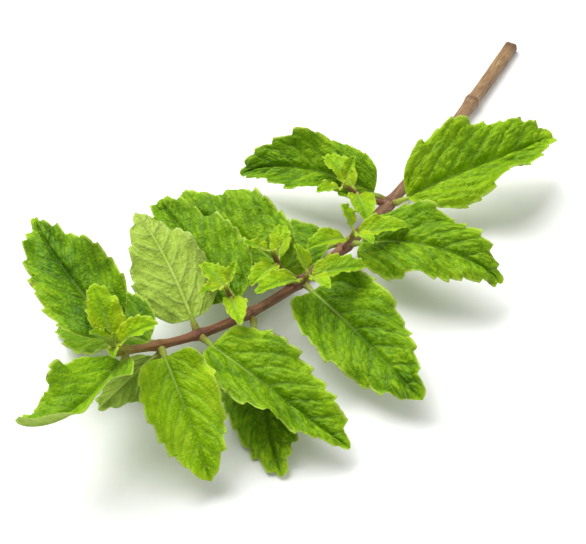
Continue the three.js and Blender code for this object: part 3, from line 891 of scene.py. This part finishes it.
def make_stem(course, replaced, sides, start=0.0, slant=0.0, ages=(0, 1)):
    """A squared stem with swollen joints, a cut face at its base and a rounded tip.

    Only the main stem has joints, leaf scars, a bruise round its cut and a slimmer tip.
    """
    bm = bmesh.new()
    is_main = bool(course.nodes)
    age, ridge, joint = (bm.verts.layers.float.new(mark) for mark in ("age", "ridge", "joint"))
    straight = bm.verts.layers.float_vector.new("straight")
    rings = []
    for distance, share in stem_distances(course, start):
        t = max(distance, 0) / course.length
        along, side, up = course.frame(t)
        centre = course.point(max(distance, 0)) + along * min(distance, 0)
        ring = add_ring(bm, Vector(), Vector((1, 0, 0)), Vector((0, 1, 0)), 1, sides, SQUARENESS)
        for vert in ring:
            x, y = vert.co.x, vert.co.y
            corner = (math.hypot(x, y) - 1) / 0.24  # 0 along the middle of a side
            furrow = 1 - SIDE_FURROW * bell(corner, 0.35)
            rough = 1 + UNEVENNESS * noise.noise(Vector((distance / 6, x * 2, y * 2)))
            scars = leaf_scars(distance, x, y) if is_main else 0
            near_tip = smooth_step(course.length - TIP_SLIMMING_LENGTH, course.length, distance)
            slim = 1 - TIP_SLIMMING * near_tip * is_main
            reach = course.radius(distance) * share * slim * (furrow * rough + scars)
            lean = slant * y * min(share, 1) * course.radius(0) * smooth_step(4, 0, distance)
            vert.co = centre + side * (x * reach) + up * (y * reach) + along * lean
            vert[age] = ages[0] + (ages[1] - ages[0]) * t
            vert[ridge] = min(max(corner, 0), 1)
            bruise = BRUISE * bell(distance, BRUISE_LENGTH) * is_main
            vert[joint] = max([bell(distance - at, 0.8) for at in course.nodes] + [scars * 3, bruise])
            vert[straight] = (x * reach, y * reach, distance)
        if rings:
            walls = bmesh.ops.bridge_loops(bm, edges=ring_edges(rings[-1]) + ring_edges(ring))["faces"]
            for wall in walls:  # those inside the cut's edge are pith
                wall.material_index = int(len(rings) <= len(CUT_FACE))
        rings.append(ring)
    bmesh.ops.contextual_create(bm, geom=ring_edges(rings[-1]))
    for middle in bmesh.ops.contextual_create(bm, geom=ring_edges(rings[0]))["faces"]:
        middle.material_index = 1
    bmesh.ops.recalc_face_normals(bm, faces=bm.faces)
    finish_piece(bm, replaced, [stem_skin, cut_face])


make_stem(main_course, "main_stem", STEM_SIDES, slant=CUT_SLANT)
for leaf in LEAVES:
    make_leaves([leaf] + BUD_LEAVES.get(leaf.name, []), main_course)
for shoot in SHOOTS:
    course = shoot_course(shoot)
    make_stem(course, shoot.name + "_stem", SHOOT_SIDES, start=SHOOT_FOOT, ages=SHOOT_AGES)
    for side, at, share, heading, pitch, bend, age in SHOOT_LEAVES:
        length = shoot.leaf * share
        leaf = Leaf(
            f"{shoot.name}_leaf_{side}", at * course.length, length, length * SHOOT_LEAF_WIDTH,
            heading, pitch, bend, age=age,
        )
        make_leaves([leaf], course)

# ---------------------------------------------------------------- table, light and camera

CAMERA_AZIMUTH = math.radians(125)
CAMERA_ELEVATION = math.radians(43)
CAMERA_DISTANCE = 0.5
CAMERA_LENS = 104
CAMERA_TARGET = Vector((0.007, -0.011, -0.007))

scene = bpy.context.scene
scene.view_settings.view_transform = "Standard"


def from_camera(right, away, up):
    """A direction given as seen from the camera: to its right, away from it and up."""
    return Vector((
        right * math.cos(CAMERA_AZIMUTH) - away * math.sin(CAMERA_AZIMUTH),
        right * math.sin(CAMERA_AZIMUTH) + away * math.cos(CAMERA_AZIMUTH),
        up,
    ))


def facing(location, target):
    """A placing at location that looks at target."""
    turn = (target - location).to_track_quat("-Z", "Y").to_matrix().to_4x4()
    return Matrix.Translation(location) @ turn


camera_data = bpy.data.cameras.new("camera")
camera_data.lens = CAMERA_LENS
camera = bpy.data.objects.new("camera", camera_data)
back = from_camera(0, -math.cos(CAMERA_ELEVATION), math.sin(CAMERA_ELEVATION))
camera.matrix_world = facing(CAMERA_TARGET + back * CAMERA_DISTANCE, CAMERA_TARGET)
bpy.context.collection.objects.link(camera)
scene.camera = camera


def add_light(name, where, size, power):
    """A soft square lamp that faces the middle of the table."""
    data = bpy.data.lights.new(name, "AREA")
    data.size = size
    data.energy = power
    lamp = bpy.data.objects.new(name, data)
    lamp.matrix_world = facing(where, Vector((0, 0, 0.01)))
    bpy.context.collection.objects.link(lamp)


add_light("overhead lamp", from_camera(-0.4, 0.3, 0.9), 0.9, 15.0)
add_light("side lamp", from_camera(0.8, -0.3, 0.6), 0.7, 1.8)

world = bpy.data.worlds.new("studio")
scene.world = world
world.use_nodes = True
backdrop = world.node_tree.nodes["Background"]
backdrop.inputs["Color"].default_value = (1, 1, 1, 1)
backdrop.inputs["Strength"].default_value = 0.5


def card_material():
    """White studio card: matt, with a faint unevenness of 2.5 mm in its white."""
    material, tree = new_material("white studio card")
    place = add(tree, "TexCoord").outputs["Object"]
    paper = add(tree, "TexNoise", {"Scale": 400.0, "Detail": 3.0}, {"Vector": place}).outputs["Fac"]
    white = add(tree, "MixRGB", {1: linear("#f7f7f6"), 2: linear("#fbfbfa")}, {0: paper}).outputs[0]
    sheet = add(
        tree, "BsdfPrincipled", {"Roughness": 0.9, "Specular IOR Level": 0.1}, {"Base Color": white}
    )
    add(tree, "OutputMaterial", links={"Surface": sheet.outputs[0]})
    return material


def make_table():
    """A plain table top of 6 m square, at the height that the sprig lies on."""
    bm = bmesh.new()
    bmesh.ops.create_grid(bm, x_segments=1, y_segments=1, size=3)
    mesh = bpy.data.meshes.new("table")
    bm.to_mesh(mesh)
    bm.free()
    mesh.materials.append(card_material())
    table = bpy.data.objects.new("table", mesh)
    bpy.context.collection.objects.link(table)
    return table


make_table()
